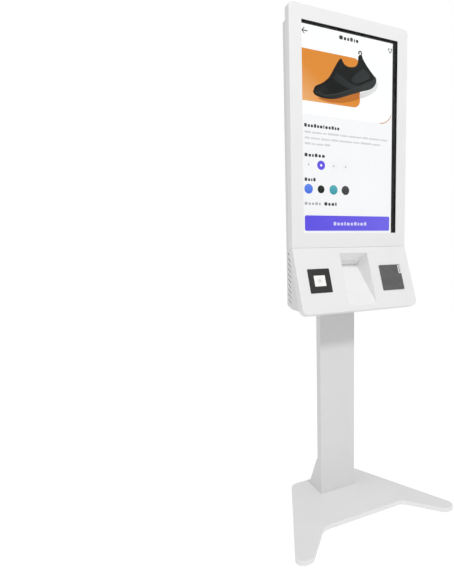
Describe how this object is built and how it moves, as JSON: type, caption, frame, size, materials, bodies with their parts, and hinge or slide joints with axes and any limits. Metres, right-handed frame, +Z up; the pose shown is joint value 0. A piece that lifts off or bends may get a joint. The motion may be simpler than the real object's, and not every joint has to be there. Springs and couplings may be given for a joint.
{
  "type": "touchscreen kiosk",
  "caption": "Free-standing self-service kiosk: tall portrait touchscreen over a tilted console with code scanner, ticket recess and card reader, on a flat column and a two-foot steel base.",
  "frame": {"origin": "on the floor under the middle of the base, at the bottom centre of the bounding box", "axes": "+X is the user's right, +Y runs to the rear, away from the user, and +Z is up"},
  "size_m": [0.686, 0.46, 1.842],
  "materials": {
    "white_paint": "fine satin powder coat",
    "column_paint": "fine satin powder coat",
    "bracket_paint": "satin powder coat",
    "zinc_steel": "zinc plated",
    "dark_steel": "black oxide",
    "black_plastic": "moulded, fine texture",
    "dark_gloss": "gloss",
    "window": "frosted",
    "screen_glass": "clear, toughened",
    "display": "black border",
    "rubber": "moulded",
    "module_plastic": "moulded",
    "cast_case": "bead blasted",
    "board_green": "solder mask",
    "paper_white": "uncoated",
    "key_metal": "polished"
  },
  "bodies": {
    "stand_and_housing": {"base_plate": "white_paint", "foot_pads": "rubber", "column_tube": "column_paint", "column_cap": "column_paint", "column_foot_block": "zinc_steel", "base_bolts": "zinc_steel", "rear_gusset": "column_paint", "column_bracket": "bracket_paint", "housing_bracket": "bracket_paint", "bracket_side_screws": "dark_steel", "column_bolts": "dark_steel", "housing_bolts": "dark_steel", "rear_shell": "white_paint", "side_pocket": "white_paint", "hatch_pin": "zinc_steel", "side_lock_barrel": "key_metal", "side_lock_nut": "zinc_steel", "ports_plate": "zinc_steel", "service_sockets": "zinc_steel", "button_collar": "black_plastic", "front_frame": "white_paint", "seam_screws": "zinc_steel", "screen_gasket": "rubber", "touch_glass": "screen_glass", "display_panel": "display", "panel_rails": "zinc_steel", "hinge_leaf_housing": "zinc_steel", "hinge_pin": "zinc_steel", "catch_magnets": "black_plastic", "ticket_printer": "module_plastic", "printer_frame": "zinc_steel", "roll_spindle": "zinc_steel", "control_computer": "cast_case", "power_supply": "cast_case", "display_board": "board_green", "power_inlet": "black_plastic", "speakers": "module_plastic", "fan_housing": "module_plastic"},
    "console": {"console_door": "white_paint", "ticket_recess": "white_paint", "scanner_bezel": "black_plastic", "scanner_window": "window", "scanner_module": "module_plastic", "reader_cover": "dark_gloss", "reader_module": "module_plastic", "hinge_leaf_console": "zinc_steel", "catch_plates": "zinc_steel"},
    "service_hatch": {"side_hatch": "white_paint"},
    "lock_plug": {"side_lock_plug": "key_metal"},
    "start_button": {"power_button": "black_plastic"},
    "paper": {"paper_roll": "paper_white"},
    "platen": {"platen_roller": "rubber"},
    "fan_wheel": {"fan_rotor": "module_plastic"}
  },
  "joints": [
    {"name": "console_hinge", "type": "hinge", "parent": "stand_and_housing", "child": "console", "pos_m": [0, -0.05575, 0.8045], "axis": [1, 0, 0], "range_deg": [0, 60]},
    {"name": "hatch_hinge", "type": "hinge", "parent": "stand_and_housing", "child": "service_hatch", "pos_m": [0.216, 0.0755, 1.323], "axis": [0, 0, 1], "range_deg": [0, 110]},
    {"name": "hatch_lock_turn", "type": "hinge", "parent": "stand_and_housing", "child": "lock_plug", "pos_m": [0.2135, 0.058, 1.4475], "axis": [1, 0, 0], "range_deg": [0, 90]},
    {"name": "power_button_press", "type": "slide", "parent": "stand_and_housing", "child": "start_button", "axis": [-1, 0, 0], "range_m": [0, 0.002], "stiffness_N_per_m": 600},
    {"name": "paper_roll_spin", "type": "hinge", "parent": "stand_and_housing", "child": "paper", "pos_m": [0, 0.02848, 0.86903], "axis": [1, 0, 0], "continuous": true},
    {"name": "platen_spin", "type": "hinge", "parent": "stand_and_housing", "child": "platen", "pos_m": [0, 0.03083, 0.99999], "axis": [1, 0, 0], "continuous": true},
    {"name": "fan_spin", "type": "hinge", "parent": "stand_and_housing", "child": "fan_wheel", "pos_m": [0.217, 0.052, 0.955], "axis": [1, 0, 0], "continuous": true}
  ],
  "couplings": [
    {"joint": "platen_spin", "follows": "paper_roll_spin", "ratio": 6.3333}
  ]
}
